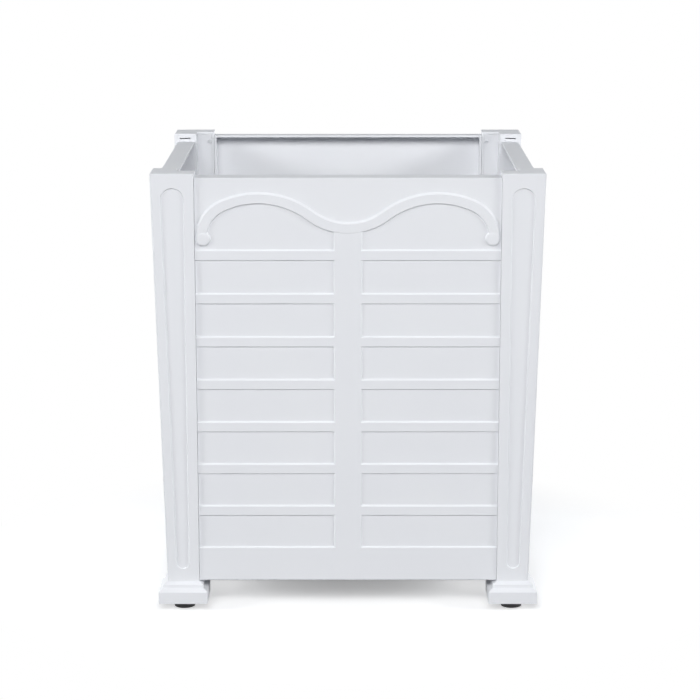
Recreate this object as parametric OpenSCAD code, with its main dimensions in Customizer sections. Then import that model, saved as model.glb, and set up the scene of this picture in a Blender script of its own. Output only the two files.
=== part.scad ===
// Versailles planter: four tapered corner posts on stepped plinths, four moulded
// tray panels, a drop-in floor and four levelling feet.
// The front faces -Y, +Z is up, and the floor is at z = 0.

/* [Overall] */
// Height of the post tops above the ground
total_h = 586; // [520:0.5:700]
// Width of each panel, which is the opening between two posts
panel_w = 395; // [320:1:560]

/* [Posts] */
// Width of a post's face at its top
post_top_w = 56.5; // [52:0.5:80]
// Width of a post's face at its foot
post_base_w = 42; // [40:0.5:50]
// Thickness of a post's two arms, seen from above
arm_t = 32; // [31:0.5:36]
// Wall of the moulded posts
post_wall = 3; // [2:0.5:4]
// Thickness of the cover that closes a post's open back
cover_t = 3; // [2:0.5:4]
// Rounding of a post's outer corner
post_corner_r = 3; // [1:0.5:6]
// Bevel round a post's top
top_bevel = 1.2; // [0.5:0.1:2]
// Margin between the round-ended recess and the edges of its face
recess_margin = 12.6; // [11:0.2:14.4]
// Distance from the post's top to the recess
recess_head = 18.7; // [12:0.5:60]
// Distance from the post's foot to the recess
recess_foot = 17; // [10:0.5:60]
// Depth of the recess
recess_depth = 1.8; // [0.8:0.1:2]
// Slope of the recess's edge, measured along the face
recess_bevel = 1; // [1:0.1:3]

/* [Panels] */
// How far the front and back panels stop below the post tops
front_drop = 6; // [3:0.5:20]
// How far the two side panels stop below the post tops
side_drop = 12; // [3:0.5:20]
// How far the raised parts of a panel lie behind the posts' faces
face_setback = 2; // [1:0.1:4]
// Height of the raised parts over the fields
relief = 2; // [1:0.1:3]
// Run of the slopes that face down, as a share of their height
under_run = 0.5; // [0.4:0.1:1]
// Wall of a panel behind its fields
skin_t = 3; // [2:0.5:4]
// Thickness of the lip that runs round a panel's back
lip_t = 3; // [2:0.5:5]
// Depth of a panel from its raised face to its lip's edge
panel_depth = 27; // [24:0.5:30]
// Rounding of the corners inside the lip
tray_corner_r = 3; // [3:0.5:20]
// Gap between a panel and each post, and above the posts' feet
panel_gap = 0.4; // [0.2:0.1:1]
// Bevel along a panel's top edge
panel_bevel = 1.2; // [0.5:0.1:1.8]

/* [Pattern] */
// Number of narrow slats above the bottom rail
slat_count = 7; // [4:1:8]
// Height of a slat
slat_h = 14.7; // [8:0.1:18]
// Height of the bottom rail
bottom_rail_h = 47.2; // [25:0.2:60]
// Width of the centre stile
stile_w = 37.4; // [20:0.2:60]
// Gap between the scroll's ends and the top slat
scroll_slat_gap = 5; // [4:0.2:20]
// Width of the scroll's band
scroll_w = 15.6; // [10:0.1:18]
// Distance of each scroll peak from the panel's middle
scroll_peak_x = 115.5; // [90:0.5:150]
// Distance from the post tops down to the peaks, on the band's middle line
scroll_peak_drop = 32; // [30:0.2:60]
// Drop from the peaks to the dip in the middle
scroll_dip = 39; // [25:0.2:50]
// Radius of the band's middle line over the peaks
scroll_peak_r = 111; // [100:1:125]
// Width of the scroll's outer shoulder, from the peak to its end
scroll_shoulder_w = 73.5; // [70:0.5:80]
// Height of the scroll's outer shoulder
scroll_shoulder_h = 52.5; // [48:0.5:56]
// How far the scroll stands proud of the stile and the slats
scroll_rise = 0.7; // [0.3:0.1:1.5]
// Radius of the knobs on the scroll's ends
knob_r = 8.3; // [7.8:0.1:8.4]
// Distance of a knob's centre from the panel's edge
knob_inset = 9.6; // [8.5:0.1:12]
// Distance of a knob's centre below the end of the band
knob_drop = 1.2; // [0.8:0.1:3]
// How far the knobs stand proud of the band
knob_rise = 0.3; // [0.1:0.1:0.8]

/* [Tongues] */
// How far the tongues and their slots lie behind the posts' faces
slot_inset = 8; // [7:0.5:10]
// Width of the slots
slot_w = 15.5; // [10:0.5:17]
// How far a tongue reaches into its post
tongue_reach = 12; // [10:0.5:14]
// Distance from the post's foot to the slot's lower end
slot_foot = 20; // [16:0.5:40]
// Distance from the post's top to the slot's upper end
slot_head = 6.5; // [5:0.5:12]
// Height of the slit that stays open above a tongue
slit_h = 1.6; // [0.8:0.1:3]
// Clearance round a tongue in its slot
slot_clear = 0.25; // [0.1:0.05:0.5]

/* [Plinths] */
// How far a plinth stands out from the post on each side
plinth_lip = 11.5; // [9:0.5:15]
// Share of that step taken by the upper bevel
upper_step = 5.7; // [3:0.1:7]
// Height of the straight block
block_h = 15.8; // [14:0.2:30]
// Height of the lower bevel
lower_bevel_h = 4.3; // [3:0.1:8]
// Height of the fillet between the bevels
fillet_h = 4.3; // [2:0.1:8]
// Height of the upper bevel
upper_bevel_h = 3.7; // [3:0.1:8]
// Rounding of the plinth's upright corners
plinth_corner_r = 1.5; // [0.5:0.25:3]
// Height of the spigot that stands inside the post
spigot_h = 12; // [11:0.5:15]

/* [Levelling feet] */
// Gap between the ground and the plinths
foot_h = 11.7; // [8.5:0.1:14]
// Diameter of a glide
glide_d = 28; // [20:0.2:34]
// Height of a glide
glide_h = 6.5; // [6:0.1:7]
// Rounding of the glide's upper edge
glide_round = 2; // [1:0.1:3]
// Bevel round the glide's sole
sole_bevel = 0.8; // [0.3:0.1:1.5]
// Diameter of a stud
stud_d = 8; // [6:0.5:10]
// Length of a stud above the plinth's underside
stud_l = 27; // [22:0.5:32]
// Room left in the plinth round and above a stud's end
stud_room = 1; // [0.5:0.25:3]
// Width across the flats of a stud's collar
collar_af = 13; // [12:0.5:16]
// Height of a stud's collar
collar_h = 1.8; // [1:0.1:2]
// Diameter of the stud's pivot in the glide
pivot_d = 6; // [4:0.5:8]
// Length of that pivot
pivot_l = 4; // [2:0.1:4.5]
// Diameter of a threaded insert
insert_d = 13; // [12:0.5:16]
// Length of a threaded insert
insert_l = 16; // [12:0.5:18]
// Diameter of the insert's flange
insert_flange_d = 19; // [17:0.5:24]
// Thickness of the insert's flange
insert_flange_t = 1.5; // [1:0.1:2.5]
// Radial clearance of the turning parts
run_gap = 0.05; // [0.02:0.01:0.1]

/* [Floor] */
// Width of a cross beam
beam_w = 25; // [20:1:40]
// Height of a cross beam
beam_h = 20; // [15:1:30]
// Wall of a cross beam
beam_wall = 2; // [1.5:0.5:4]
// Distance between the two beams' middles
beam_spacing = 270; // [220:5:290]
// Thickness of the floor tray
floor_t = 3; // [2:0.5:5]
// Height of the tray's rim above its floor
rim_h = 15; // [8:1:30]
// Gap between the tray and what it passes when it is lifted out
lift_gap = 5; // [3:0.5:10]
// Gap between the tray's notched corners and the posts
notch_gap = 7; // [5:0.5:12]
// Diameter of a drain hole
drain_d = 12; // [8:0.5:20]
// Number of drain holes along each side of their grid
drain_count = 3; // [2:1:4]
// Height of the ribs under the tray
rib_h = 8; // [4:1:12]

/* [Screws] */
// Diameter of a screw's shank
screw_d = 3; // [2.5:0.1:3.5]
// Diameter of a screw's head
screw_head_d = 5.5; // [4.5:0.1:5.8]
// Height of a screw's head
screw_head_h = 2; // [1.5:0.1:3]
// Length of a screw under its head
screw_l = 14; // [13.5:0.5:18]
// Distance of the screws from the end of an arm
screw_inset = 5.8; // [5.6:0.1:6.8]
// Distance from the post's top to the top panel screws
screw_head_drop = 15; // [14:0.5:40]
// Distance from the post's foot to the bottom panel screws
screw_foot_rise = 65; // [40:1:120]
// Clearance of a shank in its hole
screw_clear = 0.1; // [0.05:0.05:0.3]

/* [Hidden] */

// A length that reaches past every part, and how far small and large cuts run past a face
far = 2000;
nick = 0.5;
over = 1;
// How much narrower a screw's head is at its top
head_taper = 0.7;

// Facets of small and of large round parts
small_fn = 32;
round_fn = 64;

// Heights of the post's foot and the two half-widths of the tapered box
post_z = foot_h + block_h + lower_bevel_h + fillet_h + upper_bevel_h;
post_h = total_h - post_z;
half_w = panel_w / 2;
base_half = half_w + post_base_w;
top_half = half_w + post_top_w;
tilt = atan((top_half - base_half) / post_h);
face_h = post_h / cos(tilt);
flare = (top_half - base_half) / face_h;

// Levels measured inwards from the posts' faces
field_y = face_setback + relief;
back_y = face_setback + panel_depth;

// A panel's own limits, in the frame of its leaning face
panel_s0 = panel_gap;
panel_half = half_w - panel_gap;
function panel_s1(drop) = face_h - drop / cos(tilt);

// The scroll's middle line: a small arc at each end, a large one over each peak
// and one in the dip, each tangent to the next
peak_s = face_h - scroll_peak_drop;
peak_centre_s = peak_s - scroll_peak_r;
arc_sum = (scroll_peak_x * scroll_peak_x + scroll_dip * scroll_dip) / (2 * scroll_dip);
dip_r = arc_sum - scroll_peak_r;
dip_centre_s = peak_s - scroll_dip + dip_r;
dip_angle = atan2(scroll_peak_x, dip_centre_s - peak_centre_s);
end_r = (pow(scroll_peak_r, 2) - pow(scroll_shoulder_w, 2) - pow(scroll_peak_r - scroll_shoulder_h, 2))
    / (2 * (scroll_peak_r - scroll_shoulder_w));
end_x = scroll_peak_x + scroll_shoulder_w - end_r;
end_s = peak_s - scroll_shoulder_h;
end_angle = atan2(end_x - scroll_peak_x, end_s - peak_centre_s);
knob_x = half_w - panel_gap - knob_inset;

// Slats spread evenly between the bottom rail and the scroll's ends
rail_top = panel_s0 + bottom_rail_h;
slat_top = end_s - knob_drop - knob_r - scroll_slat_gap;
slat_pitch = (slat_top - rail_top) / slat_count;

// Tongues, slots and screws
slot_s0 = slot_foot;
slot_s1 = face_h - slot_head;
screw_x = half_w + screw_inset;
screw_mid = (screw_foot_rise + face_h - screw_head_drop) / 2;
panel_screw_s = [screw_foot_rise, screw_mid, face_h - screw_head_drop];
// A plinth's screw is sunk in the end of the arm, behind the panel's edge
plinth_screw_s = spigot_h / 2;
sunk_h = (screw_head_d - screw_d) / 2;

// Plinths and feet stand under the middle of each post's foot
foot_x = half_w + post_base_w / 2;
block_w = post_base_w + 2 * plinth_lip;
fillet_w = post_base_w + 2 * upper_step;
spigot_gap = 0.3;

// The beams lie on the lips' inner edges, and the tray lies on the beams
ledge_z = post_z + (panel_s0 + lip_t) * cos(tilt) + back_y * sin(tilt);
beam_l = 2 * (base_half - field_y - skin_t - lip_t);
tray_z = ledge_z + beam_h + rib_h;
tray_half = top_half - back_y - lift_gap - max(front_drop, side_drop) * tan(tilt);
notch_half = half_w - notch_gap;
tray_wall = floor_t;

// ---- Helpers ----

// Repeats a front-left part at corner 0 front left, 1 front right, 2 back right, 3 back left
module at_corner(k) rotate([0, 0, 90 * k]) children();

// The frame of a leaning face: x along it, y inwards, z up the slope
module face(k) {
    rotate([0, 0, 90 * k]) translate([0, -base_half, post_z]) rotate([tilt, 0, 0]) children();
}

// Both outer faces of the front-left post; the second is the mirror image of the first
module both_faces() {
    face(0) children();
    face(3) mirror([1, 0, 0]) children();
}

// A flat outline in x and s, made solid between two levels behind the face
module upright(y0, y1) translate([0, y1, 0]) rotate([90, 0, 0]) linear_extrude(y1 - y0) children();

module rounded_square(half, r) {
    if (r > 0) offset(r = r, $fn = small_fn) square(2 * (half - r), center = true);
    else square(2 * half, center = true);
}

function half_at(z, inset) = base_half + (z - post_z) * (top_half - base_half) / post_h - inset;

// The planter's tapered box, drawn in by an inset, between two heights
module tapered_box(inset, z0, z1, r = 0) {
    translate([0, 0, z0])
        linear_extrude(z1 - z0, scale = half_at(z1, inset) / half_at(z0, inset))
            rounded_square(half_at(z0, inset), r);
}

// The front-left corner region beyond the panels' ends
module corner_region(inset) {
    edge = -half_w - inset;
    translate([edge - far, edge - far, -far / 2]) cube([far, far, far]);
}

// ---- Posts ----

// Radius and centre height of the largest circle between a face's edges, at its ends
edge_q = 1 + sqrt(1 + flare * flare);
recess_s1 = (face_h - recess_head + recess_margin - post_base_w / edge_q) / (1 + flare / edge_q);
recess_s0 = (recess_foot - recess_margin + post_base_w / edge_q) / (1 - flare / edge_q);
function recess_r(s) = (post_base_w + s * flare) / edge_q - recess_margin;

// The round-ended recess follows the taper of its face and has a sloping edge
module recess_cut() {
    steep = recess_bevel / recess_depth;
    hull() for (s = [recess_s0, recess_s1])
        translate([-half_w - recess_margin - recess_r(s), recess_depth, s]) rotate([90, 0, 0])
            cylinder(h = recess_depth + nick, r1 = recess_r(s) - recess_bevel,
                     r2 = recess_r(s) + nick * steep, $fn = 48);
}

// The slot in an arm's end that takes a panel's tongue
module slot_cut() {
    translate([-half_w - post_wall - nick, slot_inset, slot_s0])
        cube([post_wall + 2 * nick, slot_w, slot_s1 - slot_s0]);
}

module post() {
    color("white") difference() {
        intersection() {
            union() {
                tapered_box(0, post_z, total_h - top_bevel, post_corner_r);
                translate([0, 0, total_h - top_bevel])
                    linear_extrude(top_bevel, scale = 1 - top_bevel / top_half)
                        rounded_square(half_at(total_h - top_bevel, 0), post_corner_r);
            }
            corner_region(0);
        }
        tapered_box(arm_t, post_z - over, total_h + over);
        intersection() {
            tapered_box(post_wall, post_z - over, total_h - post_wall);
            corner_region(post_wall);
        }
        both_faces() {
            recess_cut();
            slot_cut();
        }
        plinth_screw_place() {
            cylinder(h = post_wall + nick, r = screw_d / 2 + screw_clear, $fn = small_fn);
            translate([0, 0, -nick])
                cylinder(h = sunk_h + nick, r1 = screw_head_d / 2 + screw_clear + nick,
                         r2 = screw_d / 2 + screw_clear, $fn = small_fn);
        }
    }
}

module screw_hole(s, r) {
    translate([-screw_x, arm_t + nick, s]) rotate([90, 0, 0])
        cylinder(h = screw_l + 2 * over, r = r, $fn = small_fn);
}

// The frame of a plinth's screw: z runs from the end of the arm into the spigot
module plinth_screw_place() {
    face(0) translate([-half_w, arm_t / 2, plinth_screw_s]) rotate([0, -90, 0]) children();
}

// The angle that closes the post's open back, flush with the arms
module cover() {
    color("whitesmoke") difference() {
        intersection() {
            tapered_box(arm_t - cover_t, post_z, total_h - post_wall - panel_gap);
            corner_region(post_wall + slot_clear);
        }
        tapered_box(arm_t, post_z - over, total_h);
        both_faces() for (s = panel_screw_s) screw_hole(s, screw_d / 2 + screw_clear);
    }
}

// ---- Panels ----

// A bevelled strip across the panel
module slat(s0, s1, half) {
    rotate([90, 0, 90]) linear_extrude(2 * half, center = true) polygon([
        [field_y + nick, s0], [field_y, s0], [face_setback, s0 + relief * under_run],
        [face_setback, s1 - relief], [field_y, s1], [field_y + nick, s1]
    ]);
}

module bottom_rail() {
    rotate([90, 0, 90]) linear_extrude(2 * panel_half, center = true) polygon([
        [field_y + nick, panel_s0], [face_setback + panel_bevel, panel_s0],
        [face_setback, panel_s0 + panel_bevel], [face_setback, rail_top - relief],
        [field_y, rail_top], [field_y + nick, rail_top]
    ]);
}

module stile() {
    half = stile_w / 2;
    translate([0, 0, panel_s0 + panel_bevel])
        linear_extrude(peak_s - scroll_dip - panel_s0 - panel_bevel) polygon([
            [-half, field_y + nick], [-half, field_y], [relief - half, face_setback],
            [half - relief, face_setback], [half, field_y], [half, field_y + nick]
        ]);
}

// Points on an arc of the band's middle line, each with its direction across the band
function arc_line(x, s, r, a0, a1, steps, up = 1) = [
    for (i = [0 : steps]) let (a = a0 + (a1 - a0) * i / steps)
        [x + r * cos(a), s + r * sin(a), up * cos(a), up * sin(a)]
];

function mirrored(line) = [for (i = [len(line) - 1 : -1 : 0]) let (p = line[i]) [-p[0], p[1], -p[2], p[3]]];

// Every second list drops its first point, which is the last one of the list before
function tail(line) = [for (i = [1 : len(line) - 1]) line[i]];

shoulder_line = concat(
    arc_line(-end_x, end_s, end_r, 180, 90 + end_angle, 8),
    tail(arc_line(-scroll_peak_x, peak_centre_s, scroll_peak_r, 90 + end_angle, 90 - dip_angle, 14))
);
dip_line = tail(arc_line(0, dip_centre_s, dip_r, 270 - dip_angle, 270 + dip_angle, 12, -1));
scroll_line = concat(shoulder_line, dip_line, tail(mirrored(shoulder_line)));

// The band's bevelled cross-section as [across the band, level]
band_h = relief + scroll_rise;
band_section = [
    [-scroll_w / 2, field_y + nick], [-scroll_w / 2, field_y],
    [band_h * under_run - scroll_w / 2, field_y - band_h],
    [scroll_w / 2 - band_h, field_y - band_h], [scroll_w / 2, field_y], [scroll_w / 2, field_y + nick]
];

// The cross-section carried along the middle line, and cut off at the panel's edges
module band() {
    m = len(band_section);
    last = len(scroll_line) - 1;
    points = [for (p = scroll_line, q = band_section)
        [min(max(p[0] + q[0] * p[2], -panel_half), panel_half), q[1], p[1] + q[0] * p[3]]];
    sides = [for (i = [0 : last - 1], j = [0 : m - 1], half = [0, 1])
        let (a = i * m + j, b = i * m + (j + 1) % m)
        half == 0 ? [a, b + m, a + m] : [a, b, b + m]];
    first_cap = [for (j = [1 : m - 2]) [0, j + 1, j]];
    last_cap = [for (t = first_cap) [for (j = [2, 1, 0]) last * m + t[j]]];
    polyhedron(points, concat(sides, first_cap, last_cap), convexity = 10);
}

module knob(side) {
    h = band_h + knob_rise;
    translate([side * knob_x, field_y, end_s - knob_drop]) rotate([90, 0, 0]) {
        cylinder(h = h, r1 = knob_r, r2 = knob_r - h, $fn = round_fn);
        translate([0, 0, -2 * nick]) cylinder(h = 2 * nick, r = knob_r, $fn = round_fn);
    }
}

module scroll() {
    band();
    for (side = [-1, 1]) knob(side);
}

// The flat skin with its lip all round, open towards the inside
module tray_shell(s1) {
    difference() {
        upright(field_y, back_y)
            translate([-panel_half, panel_s0]) square([2 * panel_half, s1 - panel_s0]);
        upright(field_y + skin_t, back_y + nick)
            translate([0, (panel_s0 + s1) / 2]) offset(r = tray_corner_r, $fn = small_fn)
                square([2 * (panel_half - lip_t - tray_corner_r),
                        s1 - panel_s0 - 2 * (lip_t + tray_corner_r)], center = true);
        // Bevel along the top edge
        translate([0, field_y, s1]) rotate([45, 0, 0])
            cube([far, panel_bevel * sqrt(2), panel_bevel * sqrt(2)], center = true);
    }
}

// The tongue's ear rises inside the slot, behind a small step
module tongue(s1) {
    t = slot_w - 2 * slot_clear;
    ear_top = slot_s1 - slit_h;
    body_top = min(s1 - tray_corner_r, ear_top);
    ear_x = half_w + slot_clear * 2;
    difference() {
        union() {
            translate([-half_w - tongue_reach, slot_inset + slot_clear, slot_s0])
                cube([tongue_reach + panel_gap + nick, t, body_top - slot_s0]);
            translate([-half_w - tongue_reach, slot_inset + slot_clear, slot_s0])
                cube([tongue_reach - ear_x + half_w, t, ear_top - slot_s0]);
        }
        for (s = panel_screw_s) screw_hole(s, screw_d / 2 + screw_clear / 2);
    }
}

module panel(k, drop) {
    color("white") face(k) {
        tray_shell(panel_s1(drop));
        for (i = [1 : slat_count]) slat(rail_top + i * slat_pitch - slat_h, rail_top + i * slat_pitch, panel_half);
        bottom_rail();
        stile();
        scroll();
        tongue(panel_s1(drop));
        mirror([1, 0, 0]) tongue(panel_s1(drop));
    }
}

// ---- Plinths and levelling feet ----

// Half of the moulding's outline seen from the side, from the block up to the post
moulding = [
    [block_w / 2, 0], [block_w / 2, block_h], [fillet_w / 2, block_h + lower_bevel_h],
    [fillet_w / 2, block_h + lower_bevel_h + fillet_h], [post_base_w / 2, post_z - foot_h]
];

// The moulding's outline carried straight through in one direction
module moulding_bar() {
    other_side = [for (i = [len(moulding) - 1 : -1 : 0]) [-moulding[i].x, moulding[i].y]];
    rotate([90, 0, 0]) linear_extrude(block_w, center = true) polygon(concat(moulding, other_side));
}

// Two bars crossed give the mitred block, and its corners are then rounded
module moulded_block() {
    intersection() {
        moulding_bar();
        rotate([0, 0, 90]) moulding_bar();
        linear_extrude(post_z) rounded_square(block_w / 2, plinth_corner_r);
    }
}

// The L-shaped spigot fills the post's foot
module spigot() {
    outer = -base_half + post_wall + spigot_gap;
    inner = -base_half + arm_t - cover_t - spigot_gap - spigot_h * tan(tilt);
    end = -half_w - post_wall - spigot_gap;
    difference() {
        translate([outer, outer, post_z]) cube([end - outer, end - outer, spigot_h]);
        translate([inner, inner, post_z - over]) cube([far, far, spigot_h + 2 * over]);
        plinth_screw_place() cylinder(h = screw_l + over, r = screw_d / 2 + screw_clear / 2, $fn = small_fn);
    }
}

module plinth() {
    color("white") difference() {
        union() {
            translate([-foot_x, -foot_x, foot_h]) moulded_block();
            spigot();
        }
        translate([-foot_x, -foot_x, foot_h]) {
            translate([0, 0, -over]) {
                cylinder(h = over + insert_flange_t, d = insert_flange_d, $fn = round_fn);
                cylinder(h = over + insert_l, d = insert_d, $fn = round_fn);
                cylinder(h = over + stud_l + stud_room, d = stud_d + stud_room, $fn = round_fn);
            }
        }
    }
}

module level_insert() {
    color("silver") translate([-foot_x, -foot_x, foot_h]) difference() {
        union() {
            cylinder(h = insert_flange_t, d = insert_flange_d, $fn = round_fn);
            cylinder(h = insert_l, d = insert_d, $fn = round_fn);
        }
        translate([0, 0, -over])
            cylinder(h = insert_l + 2 * over, r = stud_d / 2 + run_gap, $fn = round_fn);
    }
}

module stud() {
    seat = glide_h + run_gap;
    color("silver") translate([-foot_x, -foot_x, seat]) {
        translate([0, 0, -pivot_l]) cylinder(h = pivot_l + nick, d = pivot_d, $fn = round_fn);
        cylinder(h = collar_h, d = collar_af / cos(30), $fn = 6);
        cylinder(h = foot_h - seat + stud_l, d = stud_d, $fn = round_fn);
    }
}

// The turned profile of a glide: a flat sole and a rounded shoulder
module glide() {
    r = glide_d / 2;
    color("black") translate([-foot_x, -foot_x, 0]) difference() {
        rotate_extrude($fn = round_fn) union() {
            square([r - glide_round, glide_h]);
            translate([0, sole_bevel]) square([r, glide_h - glide_round - sole_bevel]);
            polygon([[0, 0], [r - sole_bevel, 0], [r, sole_bevel], [0, sole_bevel]]);
            translate([r - glide_round, glide_h - glide_round]) intersection() {
                circle(glide_round, $fn = small_fn);
                square(glide_round);
            }
        }
        translate([0, 0, glide_h - pivot_l - run_gap])
            cylinder(h = far, r = pivot_d / 2 + run_gap, $fn = round_fn);
    }
}

// ---- Floor ----

module beam(side) {
    color("silver") translate([side * beam_spacing / 2, 0, ledge_z + beam_h / 2]) rotate([90, 0, 0])
        linear_extrude(beam_l, center = true) difference() {
            square([beam_w, beam_h], center = true);
            square([beam_w - 2 * beam_wall, beam_h - 2 * beam_wall], center = true);
        }
}

// A square with its corners cut back to pass the posts
module tray_outline(inset) {
    half = tray_half - inset;
    notch = notch_half - inset;
    square([2 * half, 2 * notch], center = true);
    square([2 * notch, 2 * half], center = true);
}

module floor_tray() {
    drain_pitch = 2 * notch_half / (drain_count + 1);
    color("gainsboro") translate([0, 0, tray_z]) difference() {
        union() {
            linear_extrude(floor_t) tray_outline(0);
            linear_extrude(floor_t + rim_h) difference() {
                tray_outline(0);
                tray_outline(tray_wall);
            }
            for (k = [0, 1]) rotate([0, 0, 90 * k]) for (side = [-1, 1])
                translate([-notch_half, side * drain_pitch / 2 - tray_wall / 2, -rib_h])
                    cube([2 * notch_half, tray_wall, rib_h + nick]);
        }
        for (i = [1 : drain_count], j = [1 : drain_count])
            translate([i * drain_pitch - notch_half, j * drain_pitch - notch_half, -over])
                cylinder(h = floor_t + 2 * over, d = drain_d, $fn = small_fn);
    }
}

// ---- Screws ----

// A pan-head screw set on an arm's inner face and driven outwards
module screw(s) {
    translate([-screw_x, arm_t, s]) rotate([90, 0, 0]) {
        cylinder(h = screw_l, d = screw_d, $fn = small_fn);
        rotate([180, 0, 0])
            cylinder(h = screw_head_h, d1 = screw_head_d, d2 = screw_head_d * head_taper, $fn = small_fn);
    }
}

module panel_screws() {
    color("gray") for (k = [0 : 3]) at_corner(k) both_faces() for (s = panel_screw_s) screw(s);
}

// A flat-head screw, its head just below the face of the arm's end
module sunk_screw() {
    translate([0, 0, screw_clear]) {
        cylinder(h = sunk_h, r1 = screw_head_d / 2, r2 = screw_d / 2, $fn = small_fn);
        cylinder(h = screw_l, d = screw_d, $fn = small_fn);
    }
}

module plinth_screws() {
    color("gray") for (k = [0 : 3]) at_corner(k) plinth_screw_place() sunk_screw();
}

at_corner(0) post();  // post_front_left
at_corner(1) post();  // post_front_right
at_corner(2) post();  // post_back_right
at_corner(3) post();  // post_back_left
at_corner(0) cover();  // cover_front_left
at_corner(1) cover();  // cover_front_right
at_corner(2) cover();  // cover_back_right
at_corner(3) cover();  // cover_back_left
panel(0, front_drop);  // panel_front
panel(1, side_drop);  // panel_right
panel(2, front_drop);  // panel_back
panel(3, side_drop);  // panel_left
at_corner(0) plinth();  // plinth_front_left
at_corner(1) plinth();  // plinth_front_right
at_corner(2) plinth();  // plinth_back_right
at_corner(3) plinth();  // plinth_back_left
at_corner(0) level_insert();  // insert_front_left
at_corner(1) level_insert();  // insert_front_right
at_corner(2) level_insert();  // insert_back_right
at_corner(3) level_insert();  // insert_back_left
at_corner(0) stud();  // stud_front_left
at_corner(1) stud();  // stud_front_right
at_corner(2) stud();  // stud_back_right
at_corner(3) stud();  // stud_back_left
at_corner(0) glide();  // glide_front_left
at_corner(1) glide();  // glide_front_right
at_corner(2) glide();  // glide_back_right
at_corner(3) glide();  // glide_back_left
beam(-1);  // beam_left
beam(1);  // beam_right
floor_tray();
panel_screws();
plinth_screws();
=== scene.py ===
# %% [markdown]
# A white garden planter of the kind that stands in front of orangeries: four
# posts that lean outwards, four panels of moulded slats under a curved band,
# and four small plinths on levelling feet. The solid parts come from a frame
# that is already measured. This lesson gives them the soft edges, threads,
# screw heads and plastic that the real planter has, and lights it as in a
# studio.

# %% Load the frame
import bpy
import bmesh
import math
import numpy as np
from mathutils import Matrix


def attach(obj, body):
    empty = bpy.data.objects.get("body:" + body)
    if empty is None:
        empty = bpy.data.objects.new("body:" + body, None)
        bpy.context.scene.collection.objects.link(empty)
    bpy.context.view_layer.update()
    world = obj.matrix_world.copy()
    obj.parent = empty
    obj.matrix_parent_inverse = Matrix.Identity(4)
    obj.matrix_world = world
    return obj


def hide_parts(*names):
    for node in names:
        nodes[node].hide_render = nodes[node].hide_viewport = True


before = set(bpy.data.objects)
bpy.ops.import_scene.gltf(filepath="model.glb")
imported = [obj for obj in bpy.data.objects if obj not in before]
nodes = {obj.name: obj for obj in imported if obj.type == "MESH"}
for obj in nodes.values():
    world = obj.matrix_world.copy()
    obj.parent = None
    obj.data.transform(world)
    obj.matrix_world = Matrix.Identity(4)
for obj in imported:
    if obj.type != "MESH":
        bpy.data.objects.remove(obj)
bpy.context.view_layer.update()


# %% [markdown]
# The picture was taken from in front and a little above, through a long lens,
# so the upright lines hardly come together. A long focal length at more than
# three metres gives the same. The camera is turned by a hair, because the
# planter stands just left of the picture's middle.

# %% Camera
CAMERA_PLACE = (0.0, -3.259, 0.977)
CAMERA_PITCH = 78.33
CAMERA_YAW = -0.05
FOCAL_MM = 121.8
SENSOR_MM = 36
VIEW_END = 50

camera_data = bpy.data.cameras.new("camera")
camera_data.lens = FOCAL_MM
camera_data.sensor_width = SENSOR_MM
camera_data.clip_end = VIEW_END
camera = bpy.data.objects.new("camera", camera_data)
camera.location = CAMERA_PLACE
camera.rotation_euler = (math.radians(CAMERA_PITCH), 0, math.radians(CAMERA_YAW))
bpy.context.scene.collection.objects.link(camera)
bpy.context.scene.camera = camera
print("camera looks down by", round(90 - CAMERA_PITCH, 1), "degrees")

# %% [markdown]
# A product picture on white needs a floor that is white to the eye of the
# camera but still takes the object's shadow. One large square does for it, at
# the height that the feet stand on.

# %% Floor
FLOOR_HALF = 12.0

floor_mesh = bpy.data.meshes.new("studio_floor")
floor_mesh.from_pydata(
    [(-FLOOR_HALF, -FLOOR_HALF, 0), (FLOOR_HALF, -FLOOR_HALF, 0),
     (FLOOR_HALF, FLOOR_HALF, 0), (-FLOOR_HALF, FLOOR_HALF, 0)], [], [(0, 1, 2, 3)])
floor = bpy.data.objects.new("studio_floor", floor_mesh)
bpy.context.scene.collection.objects.link(floor)
print("floor", 2 * FLOOR_HALF, "m wide")

# %% [markdown]
# A few small helpers are enough for the floor and the world: a glow, a matt
# reflection, a mix of two shaders, and a switch that tells apart the rays
# that see the background from those that carry light to the planter. Another
# way would be a bright backdrop, but that would also light the planter.

# %% Helpers for the floor and the world
def glow_shader(tree, strength):
    """A white emission of a given strength."""
    light = tree.nodes.new("ShaderNodeEmission")
    light.inputs["Strength"].default_value = strength
    return light.outputs[0]


def matt_shader(tree, colour):
    """A plain matt reflection."""
    matt = tree.nodes.new("ShaderNodeBsdfDiffuse")
    matt.inputs["Color"].default_value = colour
    return matt.outputs[0]


def mix_shaders(tree, factor, first, second):
    """The first shader where the factor is 0, the second where it is 1."""
    mix = tree.nodes.new("ShaderNodeMixShader")
    tree.links.new(factor, mix.inputs[0])
    tree.links.new(first, mix.inputs[1])
    tree.links.new(second, mix.inputs[2])
    return mix.outputs[0]


def background_ray(tree):
    """1 for what the camera, gloss and glass see, 0 for the light that falls on the object."""
    path = tree.nodes.new("ShaderNodeLightPath")
    seen_by = path.outputs["Is Camera Ray"]
    for kind in ("Is Glossy Ray", "Is Transmission Ray"):
        either = tree.nodes.new("ShaderNodeMath")
        either.operation = "MAXIMUM"
        tree.links.new(seen_by, either.inputs[0])
        tree.links.new(path.outputs[kind], either.inputs[1])
        seen_by = either.outputs[0]
    return seen_by


def fade_over(tree, distance, reach):
    """0 up to the reach's first distance, 1 beyond its second, and smooth between them."""
    fade = tree.nodes.new("ShaderNodeMapRange")
    fade.interpolation_type = "SMOOTHSTEP"
    fade.inputs["From Min"].default_value, fade.inputs["From Max"].default_value = reach
    tree.links.new(distance, fade.inputs["Value"])
    return fade.outputs[0]


print("rays that see the background: camera, gloss and glass")

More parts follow.
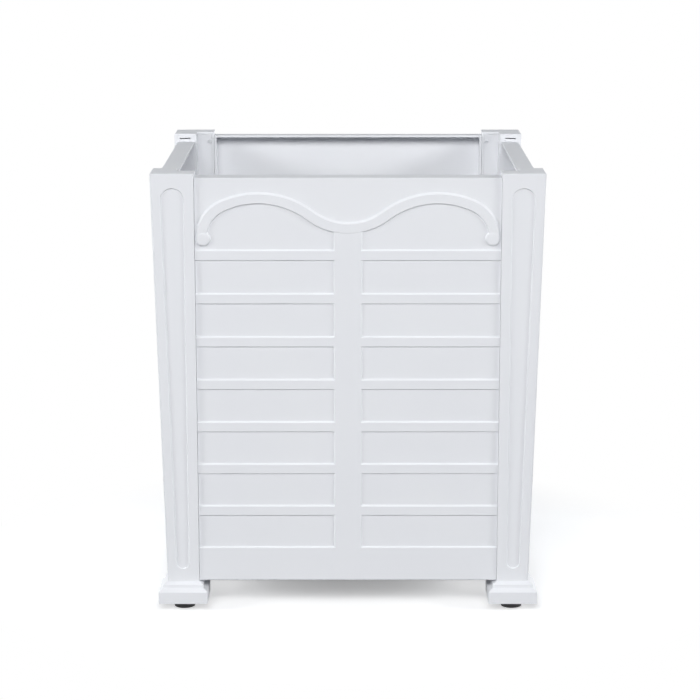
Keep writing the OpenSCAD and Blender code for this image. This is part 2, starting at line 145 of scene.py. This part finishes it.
# %% [markdown]
# Camera, gloss and glass see a floor that is nearly white and glows a little,
# so that a shadow still darkens it. Right under the planter the glow is
# weaker, which is painted shade: the floor there looks darker whatever the
# lamps do. Far from the planter the floor is pure white. The light that falls
# on the planter meets a darker floor instead, so little of it comes back up.

# %% The floor's white
FLOOR_SEEN = (0.97, 0.97, 0.97, 1)
FLOOR_BOUNCE = (0.26, 0.26, 0.27, 1)
FLOOR_GLOW = 0.40
# A weaker glow right under the planter, and how far it reaches: painted shade under it.
PAINTED_SHADE_GLOW = 0.24
PAINTED_SHADE_REACH = (0.05, 0.24)
SHADOW_REACH = (0.34, 0.55)

floor_material = bpy.data.materials.new("studio_white")
floor_material.use_nodes = True
tree = floor_material.node_tree
tree.nodes.clear()
where = tree.nodes.new("ShaderNodeTexCoord")
length = tree.nodes.new("ShaderNodeVectorMath")
length.operation = "LENGTH"
tree.links.new(where.outputs["Object"], length.inputs[0])
distance = length.outputs["Value"]
# The glow falls to the weaker one near the planter's middle: painted shade under the planter.
glow = mix_shaders(tree, fade_over(tree, distance, PAINTED_SHADE_REACH),
                   glow_shader(tree, PAINTED_SHADE_GLOW), glow_shader(tree, FLOOR_GLOW))
near = tree.nodes.new("ShaderNodeAddShader")
tree.links.new(matt_shader(tree, FLOOR_SEEN), near.inputs[0])
tree.links.new(glow, near.inputs[1])
seen = mix_shaders(tree, fade_over(tree, distance, SHADOW_REACH),
                   near.outputs[0], glow_shader(tree, 1.0))
whole = mix_shaders(tree, background_ray(tree), matt_shader(tree, FLOOR_BOUNCE), seen)
out = tree.nodes.new("ShaderNodeOutputMaterial")
tree.links.new(whole, out.inputs["Surface"])
floor.data.materials.append(floor_material)
print("floor glow", FLOOR_GLOW, "and", PAINTED_SHADE_GLOW, "under the planter")

# %% [markdown]
# The world is plain white behind the planter. What it sends onto the planter
# is a weak, cool light, which keeps the shaded sides from going black.

# %% World
WORLD_COLOUR = (0.62, 0.80, 1.0, 1)
WORLD_LEVEL = 0.08

world = bpy.data.worlds.new("studio_world")
bpy.context.scene.world = world
world.use_nodes = True
tree = world.node_tree
tree.nodes.clear()
around = tree.nodes.new("ShaderNodeBackground")
around.inputs["Color"].default_value = WORLD_COLOUR
around.inputs["Strength"].default_value = WORLD_LEVEL
behind = tree.nodes.new("ShaderNodeBackground")
behind.inputs["Color"].default_value = (1, 1, 1, 1)
behind.inputs["Strength"].default_value = 1
whole = mix_shaders(tree, background_ray(tree), around.outputs[0], behind.outputs[0])
out = tree.nodes.new("ShaderNodeOutputWorld")
tree.links.new(whole, out.inputs["Surface"])
print("world level", WORLD_LEVEL)

# %% [markdown]
# One big soft box stands in front and above, so that the front of the planter
# is bright, its bevels that look up are brighter and those that look down are
# dark. A weak one low in front lights the plinths. One from each side and one
# low behind each back corner keep the other faces from going grey.

# %% Lamps
LAMP_TARGET = (0, 0, 0.3)
LAMPS = [
    ("key_lamp", (-0.7, -6.4, 4.0), (4.0, 2.4), 262),
    ("fill_lamp", (-1.6, -6.0, 0.5), (3.0, 1.0), 10),
    ("left_lamp", (-4.9, -2.4, 2.0), (1.8, 0.9), 122),
    ("right_lamp", (4.9, -2.4, 2.0), (1.8, 0.9), 128),
    ("back_left_lamp", (-3.2, 3.4, 0.7), (1.4, 1.2), 78),
    ("back_right_lamp", (3.2, 3.4, 0.7), (1.4, 1.2), 90)]


def soft_box(name, place, size, watts):
    """A rectangular area lamp at a place, turned so that its face looks at the target."""
    data = bpy.data.lights.new(name, "AREA")
    data.shape = "RECTANGLE"
    data.size, data.size_y = size
    data.energy = watts
    lamp = bpy.data.objects.new(name, data)
    lamp.location = place
    way = np.array(LAMP_TARGET) - np.array(place)
    flat = math.hypot(way[0], way[1])
    lamp.rotation_euler = (math.atan2(flat, -way[2]), 0, math.atan2(-way[0], way[1]))
    bpy.context.scene.collection.objects.link(lamp)
    print(name, "at", place, "with", watts, "W")


for lamp_values in LAMPS:
    soft_box(*lamp_values)

scene_view = bpy.context.scene.view_settings
scene_view.view_transform = "Standard"

# %% [markdown]
# A good plastic is more than a colour. Moulded parts have a fine grain left by
# the tool, a faint cloudiness where the melt flowed, and a satin gloss that
# varies a little. All of it is made from noise in the part's own coordinates,
# in metres, so the grain has a real size. These helpers make the noise and
# lay it onto a colour, a gloss or a height.

# %% Noise and what it drives
FIELD_LOW, FIELD_HIGH = 0.3, 0.7


def new_material(name):
    """A node material; returns it, its tree, its shader and the part's own coordinates."""
    material = bpy.data.materials.new(name)
    material.use_nodes = True
    tree = material.node_tree
    tree.nodes.clear()
    shader = tree.nodes.new("ShaderNodeBsdfPrincipled")
    out = tree.nodes.new("ShaderNodeOutputMaterial")
    tree.links.new(shader.outputs[0], out.inputs["Surface"])
    where = tree.nodes.new("ShaderNodeTexCoord")
    return material, tree, shader, where.outputs["Object"]


def noise(tree, where, scale, detail=2.0, rough=0.5, squash=(1, 1, 1)):
    """Noise with so many cells a metre; squash stretches it along an axis."""
    place = tree.nodes.new("ShaderNodeMapping")
    place.inputs["Scale"].default_value = squash
    tree.links.new(where, place.inputs["Vector"])
    field = tree.nodes.new("ShaderNodeTexNoise")
    field.inputs["Scale"].default_value = scale
    field.inputs["Detail"].default_value = detail
    field.inputs["Roughness"].default_value = rough
    tree.links.new(place.outputs[0], field.inputs["Vector"])
    return field.outputs[0]


def spread(tree, value, low, high):
    """Maps the middle part of a noise field onto low to high."""
    ramp = tree.nodes.new("ShaderNodeMapRange")
    ramp.inputs["From Min"].default_value = FIELD_LOW
    ramp.inputs["From Max"].default_value = FIELD_HIGH
    ramp.inputs["To Min"].default_value = low
    ramp.inputs["To Max"].default_value = high
    tree.links.new(value, ramp.inputs["Value"])
    return ramp.outputs[0]


def two_tones(tree, value, first, second):
    """A colour between two tones, chosen by a noise field."""
    mix = tree.nodes.new("ShaderNodeMix")
    mix.data_type = "RGBA"
    tree.links.new(spread(tree, value, 0, 1), mix.inputs["Factor"])
    mix.inputs["A"].default_value = first
    mix.inputs["B"].default_value = second
    return mix.outputs["Result"]


def bumps(tree, shader, layers):
    """Adds layers of (height field, depth in metres) as one chain of Bump nodes."""
    last = None
    for field, depth in layers:
        bump = tree.nodes.new("ShaderNodeBump")
        bump.inputs["Strength"].default_value = 1
        bump.inputs["Distance"].default_value = depth
        tree.links.new(field, bump.inputs["Height"])
        if last is not None:
            tree.links.new(last, bump.inputs["Normal"])
        last = bump.outputs[0]
    tree.links.new(last, shader.inputs["Normal"])


print("noise is used between", FIELD_LOW, "and", FIELD_HIGH)

# %% [markdown]
# One function makes every plastic here, so panels, posts, plinths, tray, feet
# and screw coating differ only in colour, gloss and grain. Cells are counted
# per metre. The posts' clouds are drawn out along their height, because their
# melt flowed that way.

# %% Moulded plastics
CLOUD_CELLS, PATCH_CELLS, WAVE_CELLS, GRAIN_CELLS = 9, 35, 28, 2600
WAVE_DEPTH = 0.00005
GLOSS_SPREAD = 0.04
PLASTIC_IOR = 1.5


def moulded_plastic(name, first, second, gloss, grain_depth, flow=(1, 1, 1)):
    """Satin plastic: two close tones in slow clouds, a fine tool grain, and uneven gloss."""
    material, tree, shader, where = new_material(name)
    clouds = noise(tree, where, CLOUD_CELLS, 3, 0.5, flow)
    tree.links.new(two_tones(tree, clouds, first, second), shader.inputs["Base Color"])
    patches = noise(tree, where, PATCH_CELLS, 3, 0.6, flow)
    roughness = spread(tree, patches, gloss - GLOSS_SPREAD, gloss + GLOSS_SPREAD)
    tree.links.new(roughness, shader.inputs["Roughness"])
    grain = noise(tree, where, GRAIN_CELLS, 2, 0.6)
    waves = noise(tree, where, WAVE_CELLS, 1, 0.5, flow)
    bumps(tree, shader, [(waves, WAVE_DEPTH), (grain, grain_depth)])
    shader.inputs["IOR"].default_value = PLASTIC_IOR
    print(name, "gloss", gloss, "grain", grain_depth * 1e6, "micrometres")
    return material


WHITE_A = (0.855, 0.865, 0.89, 1)
WHITE_B = (0.84, 0.85, 0.88, 1)
GREY_A, GREY_B = (0.74, 0.75, 0.765, 1), (0.71, 0.72, 0.74, 1)
BLACK_A, BLACK_B = (0.012, 0.012, 0.013, 1), (0.02, 0.02, 0.021, 1)
ALONG_POST = (1, 1, 0.25)
panel_white = moulded_plastic("white_panel_plastic", WHITE_A, WHITE_B, 0.52, 0.000004)
post_white = moulded_plastic("white_post_plastic", WHITE_A, WHITE_B, 0.5, 0.000002, ALONG_POST)
plinth_white = moulded_plastic("white_plinth_plastic", WHITE_A, WHITE_B, 0.5, 0.000004)
tray_grey = moulded_plastic("grey_tray_plastic", GREY_A, GREY_B, 0.5, 0.000008)
screw_white = moulded_plastic("white_screw_coating", WHITE_A, WHITE_B, 0.3, 0.000001)
foot_black = moulded_plastic("black_foot_plastic", BLACK_A, BLACK_B, 0.45, 0.000008)

# %% [markdown]
# Metal parts here are small: bright zinc on the studs, brass in the threaded
# inserts, and plain drawn aluminium in the two cross beams. Zinc
# shows patches of slightly different grey, and a drawn bar shows fine lines
# along its length.

# %% Metals
SMOOTHER, ROUGHER = 0.06, 0.08
FINE_CELLS = 6
METAL_DEPTH = 0.00001
ALONG_BAR = (1, 0.02, 1)


def plated_metal(name, first, second, gloss, cells, lines=(1, 1, 1)):
    """Metal of two close tones in patches of a given size, rougher in some than in others."""
    material, tree, shader, where = new_material(name)
    patches = noise(tree, where, cells, 3, 0.6, lines)
    tree.links.new(two_tones(tree, patches, first, second), shader.inputs["Base Color"])
    roughness = spread(tree, patches, gloss - SMOOTHER, gloss + ROUGHER)
    tree.links.new(roughness, shader.inputs["Roughness"])
    shader.inputs["Metallic"].default_value = 1
    fine = noise(tree, where, cells * FINE_CELLS, 2, 0.5, lines)
    bumps(tree, shader, [(fine, METAL_DEPTH)])
    print(name, "patches of", round(1000 / cells, 1), "mm")
    return material


zinc = plated_metal("zinc_plate", (0.60, 0.62, 0.65, 1), (0.50, 0.52, 0.56, 1), 0.32, 400)
brass = plated_metal("turned_brass", (0.72, 0.52, 0.22, 1), (0.62, 0.44, 0.18, 1), 0.3, 300)
drawn = plated_metal("drawn_aluminium", (0.70, 0.71, 0.73, 1), (0.62, 0.63, 0.65, 1), 0.36, 500,
                     ALONG_BAR)

# %% [markdown]
# The frame's solids have knife-sharp edges, and nothing moulded is that sharp.
# A copy of a part is merged into clean faces, and a small Bevel modifier rolls
# its edges, so that each of them catches a thin line of light. Weighted
# normals then let the large faces decide the shading at their corners, because
# plain smooth shading would draw a wedge across a flat face. The copy stands
# for the part that it was made from.

# %% Soft-edged copies
MERGE_DISTANCE = 0.00001
FLAT_ANGLE = math.radians(0.5)
SHARP_ANGLE = math.radians(25)
EDGE_SEGMENTS = 2
LARGE_FACE_WEIGHT = 90


def soft_copy(node, body, material, edge):
    """A merged copy of a frame part whose edges over the sharp angle are rolled by a radius."""
    mesh = nodes[node].data.copy()
    mesh.name = node + "_soft"
    work = bmesh.new()
    work.from_mesh(mesh)
    bmesh.ops.remove_doubles(work, verts=work.verts, dist=MERGE_DISTANCE)
    bmesh.ops.dissolve_limit(work, angle_limit=FLAT_ANGLE,
                             verts=work.verts, edges=work.edges)
    work.to_mesh(mesh)
    work.free()
    mesh.materials.clear()
    mesh.materials.append(material)
    mesh.polygons.foreach_set("use_smooth", np.ones(len(mesh.polygons), bool))
    mesh.set_sharp_from_angle(angle=SHARP_ANGLE)
    piece = bpy.data.objects.new(node + "_soft", mesh)
    bpy.context.scene.collection.objects.link(piece)
    roll = piece.modifiers.new("rolled_edges", "BEVEL")
    roll.width = edge
    roll.segments = EDGE_SEGMENTS
    roll.limit_method = "ANGLE"
    roll.angle_limit = SHARP_ANGLE
    even = piece.modifiers.new("even_shading", "WEIGHTED_NORMAL")
    even.weight = LARGE_FACE_WEIGHT
    even.keep_sharp = True
    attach(piece, body)
    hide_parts(node)


CORNERS = ["front_left", "front_right", "back_right", "back_left"]
SIDES = ["front", "right", "back", "left"]
PANEL_EDGE = 0.0002
POST_EDGE = 0.0004
PLINTH_EDGE = 0.0006
TRAY_EDGE = 0.0006
BEAM_EDGE = 0.0004

for side in SIDES:
    soft_copy("panel_" + side, "planter", panel_white, PANEL_EDGE)
for corner in CORNERS:
    soft_copy("post_" + corner, "planter", post_white, POST_EDGE)
    soft_copy("cover_" + corner, "planter", post_white, POST_EDGE)
    soft_copy("plinth_" + corner, "planter", plinth_white, PLINTH_EDGE)
soft_copy("floor_tray", "floor", tray_grey, TRAY_EDGE)
for side in ["left", "right"]:
    soft_copy("beam_" + side, "planter", drawn, BEAM_EDGE)

# %% [markdown]
# Studs, glides and screws are turned parts: each is a row of rings about an
# axis, from one pole to the other. A ring needn't be round, so a hexagon, a
# thread and the cross in a screw's head all come from the same grid. One
# helper takes the rings and the places of the copies and makes the mesh.

# %% A turned surface
MM = 0.001
POLE_DISTANCE = 0.0000001


def ring_angles(count):
    """Angles once round, as one row."""
    return np.linspace(0, 2 * math.pi, count, endpoint=False)[None]


def round_rings(profile, count):
    """Rings of one radius each: a profile of (radius, height) rows carried round the axis."""
    radius, height = np.array(profile, float).T[:, :, None]
    angle = ring_angles(count)
    return np.stack([radius * np.cos(angle), radius * np.sin(angle), height + 0 * angle], -1)


def turned(name, rings, places, body, material, sharp=32):
    """A closed mesh for each 4 by 4 place, from rings of points in mm (rows, round, 3)."""
    rows, count = rings.shape[:2]
    flat = np.concatenate([rings.reshape(-1, 3) * MM, np.ones((rows * count, 1))], 1)
    points = np.einsum("kij,nj->kni", places, flat)[..., :3].reshape(-1, 3)
    row, column = np.meshgrid(np.arange(rows - 1), np.arange(count), indexing="ij")
    near = row * count + column
    beside = row * count + (column + 1) % count
    quads = np.stack([near, beside, beside + count, near + count], -1).reshape(1, -1, 4)
    quads = (quads + rows * count * np.arange(len(places))[:, None, None]).reshape(-1, 4)
    mesh = bpy.data.meshes.new(name)
    mesh.from_pydata(points.tolist(), [], quads.tolist())
    work = bmesh.new()
    work.from_mesh(mesh)
    bmesh.ops.remove_doubles(work, verts=work.verts, dist=POLE_DISTANCE)
    bmesh.ops.recalc_face_normals(work, faces=work.faces)
    work.to_mesh(mesh)
    work.free()
    mesh.materials.append(material)
    mesh.polygons.foreach_set("use_smooth", np.ones(len(mesh.polygons), bool))
    mesh.set_sharp_from_angle(angle=math.radians(sharp))
    piece = bpy.data.objects.new(name, mesh)
    bpy.context.scene.collection.objects.link(piece)
    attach(piece, body)
    print(name, len(places), "times,", len(mesh.polygons), "faces")
    return piece


# %% [markdown]
# Screws and buttons sit on four faces that all lean outwards by the same
# angle. A place is a 4 by 4 matrix, and one face's place turned by quarter
# turns gives the other three, so every number is written for one face only.
# The lean is the arc tangent of the overhang at the top over the posts' height.

# %% Places
def moved(x, y, z):
    """A shift in millimetres as a 4 by 4 matrix in metres."""
    matrix = np.eye(4)
    matrix[:3, 3] = np.array([x, y, z]) * MM
    return matrix


def rolled(axis, degrees):
    """A right-handed turn about the X, Y or Z axis (0, 1 or 2) as a 4 by 4 matrix."""
    matrix = np.eye(4)
    first, second = (axis + 1) % 3, (axis + 2) % 3
    cosine, sine = math.cos(math.radians(degrees)), math.sin(math.radians(degrees))
    matrix[first, first] = matrix[second, second] = cosine
    matrix[first, second], matrix[second, first] = -sine, sine
    return matrix


FOOT_X = 218.5
BASE_HALF = 239.5
TOP_HALF = 254
POST_Z = 39.8
TOTAL_H = 586
LEAN = math.degrees(math.atan((TOP_HALF - BASE_HALF) / (TOTAL_H - POST_Z)))


def face_place(turn):
    """The leaning frame of one face: x along it, y inwards, z up from the foot of the posts."""
    return rolled(2, 90 * turn) @ moved(0, -BASE_HALF, POST_Z) @ rolled(0, LEAN)


print("faces lean by", round(LEAN, 2), "degrees")

# %% [markdown]
# Each end of the curved band finishes in a small button that swells beyond the
# band's inner edge. Its height over the field is a rise times a root of one
# minus the eighth power of the radius, as a share of the button's radius. So
# its flank is steep, its rim is round and its crown is almost flat.

# %% Buttons on the band's ends
PANEL_HALF = 197.5
FIELD_Y = 4.0
BUTTON_INSET = 11.3
BUTTON_S = 461.3
BUTTON_R = 9.8
BUTTON_RISE = 3.12
BUTTON_SINK = 0.3
BUTTON_POWER, BUTTON_ROOT = 8, 0.625
BUTTON_STEPS, BUTTON_ROUND = 14, 48


def button_profile():
    """Rows of (radius, height) from rim to crown: rise * (1 - (radius share)^power)^root."""
    share = np.sin(np.linspace(math.pi / 2, 0, BUTTON_STEPS))
    height = BUTTON_RISE * (1 - share ** BUTTON_POWER) ** BUTTON_ROOT
    foot = [[0, -BUTTON_SINK], [BUTTON_R, -BUTTON_SINK]]
    return np.concatenate([foot, np.stack([share * BUTTON_R, height], -1)])


button_x = PANEL_HALF - BUTTON_INSET
button_places = np.array([
    face_place(turn) @ moved(side * button_x, FIELD_Y, BUTTON_S) @ rolled(0, 90)
    for turn in range(4) for side in (-1, 1)])
turned("scroll_buttons", round_rings(button_profile(), BUTTON_ROUND), button_places,
       "planter", panel_white, sharp=60)

# %% [markdown]
# A levelling stud is a screw with a hexagon near its foot, where a wrench
# turns it, and a plain pin below, which stands in the glide. The thread is a
# saw wave of height over pitch minus angle over a full turn, so its crest
# climbs by one pitch each turn, to the right as on nearly every screw.

# %% Levelling studs
SEAT_Z = 6.55
THREAD_PITCH = 1.25
THREAD_TOP = 32.1
CREST_R, ROOT_R = 3.97, 3.3
COLLAR_FLAT, COLLAR_H = 6.5, 1.8
PIN_PROFILE = [[0, -3.95], [2.6, -3.95], [2.95, -3.6], [2.95, 0]]
COLLAR_PROFILE = [[6.7, 0], [7.1, 0.25], [7.6, 0.5], [7.6, 1.3], [7.1, 1.55], [6.7, COLLAR_H]]
STUD_ROUND, STEPS_A_PITCH = 48, 8
TOOTH_SLOPE, TOOTH_GAP = 1.3, 0.15
LEAD_H, TIP_H, TIP_INSET = 1.2, 0.2, 0.4


def stud_rings():
    """Pin, hexagonal collar and thread. The collar's radius is the smaller of a ring's and the
    hexagon's; the thread's is the root plus a saw wave of height / pitch - angle / full turn."""
    angle = ring_angles(STUD_ROUND)
    plain = np.array(PIN_PROFILE)
    collar = np.array(COLLAR_PROFILE)
    hexagon = COLLAR_FLAT / np.cos(np.mod(angle, math.pi / 3) - math.pi / 6)
    height = np.arange(COLLAR_H, THREAD_TOP - TIP_H, THREAD_PITCH / STEPS_A_PITCH)[:, None]
    saw = np.abs(2 * np.mod(height / THREAD_PITCH - angle / (2 * math.pi), 1) - 1)
    tooth = np.clip(TOOTH_SLOPE * saw - TOOTH_GAP, 0, 1)
    start = np.clip((THREAD_TOP - TIP_H - height) / LEAD_H, 0, 1)
    radius = np.concatenate([
        plain[:, :1] + 0 * angle,
        np.minimum(collar[:, :1], hexagon),
        ROOT_R + (CREST_R - ROOT_R) * tooth * start,
        np.array([[ROOT_R - TIP_INSET], [0]]) + 0 * angle])
    level = np.concatenate([plain[:, 1:], collar[:, 1:], height, [[THREAD_TOP], [THREAD_TOP]]])
    return np.stack([radius * np.cos(angle), radius * np.sin(angle), level + 0 * angle], -1)


studs = stud_rings()
for turn, corner in enumerate(CORNERS):
    place = rolled(2, 90 * turn) @ moved(-FOOT_X, -FOOT_X, SEAT_Z)
    piece = turned("stud_" + corner + "_threaded", studs, place[None],
                   "stud_" + corner, zinc)
    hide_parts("stud_" + corner)

# %% [markdown]
# The glide under each stud is a small moulded disc. Its top edge is round,
# its sole is hollow in the middle so that it stands on a ring, and a shallow
# groove runs round the socket for the pin.

# %% Glides
GLIDE_R, GLIDE_H, GLIDE_CORNER = 14, 6.5, 2
GLIDE_ROUND, CORNER_STEPS = 72, 7
SOLE = [[0, 0.35], [8.2, 0.35], [8.8, 0.0], [13.3, 0.0], [13.8, 0.3], [GLIDE_R, 0.8]]
GROOVE = [[6.4, GLIDE_H], [6.1, 6.3], [4.7, 6.3], [4.4, GLIDE_H]]
SOCKET = [[3.3, GLIDE_H], [3.08, 6.3], [3.08, 2.47], [0, 2.47]]

quarter = np.radians(np.linspace(0, 90, CORNER_STEPS))
glide_edge = [
    [GLIDE_R - GLIDE_CORNER + GLIDE_CORNER * c, GLIDE_H - GLIDE_CORNER + GLIDE_CORNER * s]
    for c, s in zip(np.cos(quarter), np.sin(quarter))]
glides = round_rings(SOLE + glide_edge + GROOVE + SOCKET, GLIDE_ROUND)
for turn, corner in enumerate(CORNERS):
    place = rolled(2, 90 * turn) @ moved(-FOOT_X, -FOOT_X, 0)
    piece = turned("glide_" + corner + "_moulded", glides, place[None],
                   "glide_" + corner, foot_black)
    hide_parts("glide_" + corner)

# %% [markdown]
# Each panel hangs on six small screws with domed heads, three in every post
# arm, and each plinth is held by one flat-headed screw in the end of an arm.
# Their heads have a cross recess. It is cut into the head's height: the depth
# is full near the two crossing lines and falls off at the sides and the ends.

# %% A screw's rings
CROSS_HALF, CROSS_FLANK, CROSS_END = 0.5, 0.15, 0.5
HEAD_RINGS, SCREW_ROUND = 18, 48


def cross_depth(x, y, depth, reach):
    """Depth of the cross at a point: none beyond half a slot's width from a line, full once the
    flank is passed, and less towards the arms' ends."""
    def arm(across, along):
        flank = np.clip((CROSS_HALF - np.abs(across)) / CROSS_FLANK, 0, 1)
        return flank * np.clip((reach - np.abs(along)) / CROSS_END, 0, 1)
    return depth * np.maximum(arm(x, y), arm(y, x))


def screw_rings(dome, head_r, under, depth, reach):
    """Head: height dome * sqrt(1 - (r / head radius) cubed) less the cross; then the shank."""
    angle = ring_angles(SCREW_ROUND)
    r = np.linspace(0, head_r, HEAD_RINGS)[:, None]
    height = dome * np.sqrt(np.clip(1 - (r / head_r) ** 3, 0, 1))
    head_z = height - cross_depth(r * np.cos(angle), r * np.sin(angle), depth, reach)
    head = np.stack([r * np.cos(angle), r * np.sin(angle), head_z], -1)
    return np.concatenate([head, round_rings(under, SCREW_ROUND)])


PAN_SHANK = [[2.75, 0], [1.45, 0], [1.45, -12.5], [0, -14]]
FLAT_SHANK = [[2.72, -0.05], [1.45, -1.25], [1.45, -12.5], [0, -14]]
pan_rings = screw_rings(dome=2.0, head_r=2.75, under=PAN_SHANK, depth=1.2, reach=1.7)
flat_rings = screw_rings(dome=0.0, head_r=2.7, under=FLAT_SHANK, depth=1.0, reach=1.6)
print("rings a screw:", len(pan_rings), "domed and", len(flat_rings), "flat")

# %% [markdown]
# The domed screws sit at three levels on both sides of each face, and their
# crosses are turned by different angles, as a screwdriver leaves them. The
# flat ones stand upright in the posts' feet.

# %% Screws
PANEL_SCREW_X, ARM_T = 203.3, 32
LOW_SCREW, BELOW_TOP = 65, 15
TURN_A_FACE, TURN_A_LEVEL = 37, 53
FACE_H = (TOTAL_H - POST_Z) / math.cos(math.radians(LEAN))
SCREW_LEVELS = [LOW_SCREW, (LOW_SCREW + FACE_H - BELOW_TOP) / 2, FACE_H - BELOW_TOP]
pan_places = [
    face_place(turn) @ moved(side * PANEL_SCREW_X, ARM_T, level) @ rolled(0, -90)
    @ rolled(2, TURN_A_FACE * turn + TURN_A_LEVEL * n)
    for turn in range(4) for side in (-1, 1) for n, level in enumerate(SCREW_LEVELS)]
panel_screws = turned("panel_screws_crossed", pan_rings, np.array(pan_places),
                      "planter", screw_white)
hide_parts("panel_screws")

PLINTH_SCREW_X, PLINTH_SCREW_LEVEL, HEAD_SINK = 197.5, 6, 0.1
flat_places = [
    rolled(2, 90 * turn) @ face_place(0) @ moved(-PLINTH_SCREW_X, ARM_T / 2, PLINTH_SCREW_LEVEL)
    @ rolled(1, 90) @ moved(0, 0, -HEAD_SINK)
    for turn in range(4)]
plinth_screws = turned("plinth_screws_crossed", flat_rings, np.array(flat_places),
                       "planter", screw_white)
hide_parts("plinth_screws")

# %% [markdown]
# The brass inserts sit deep in the plinths and hardly show, so the frame's own
# solids are good enough. They only get their metal.

# %% Materials of the parts that stay
def dress(node, material):
    """Gives every material slot of a frame part the same new material."""
    part = nodes[node]
    for place in part.material_slots:
        place.material = material
    if not part.material_slots:
        part.data.materials.append(material)


for corner in CORNERS:
    dress("insert_" + corner, brass)
print("dressed as they are:", len(CORNERS), "inserts")
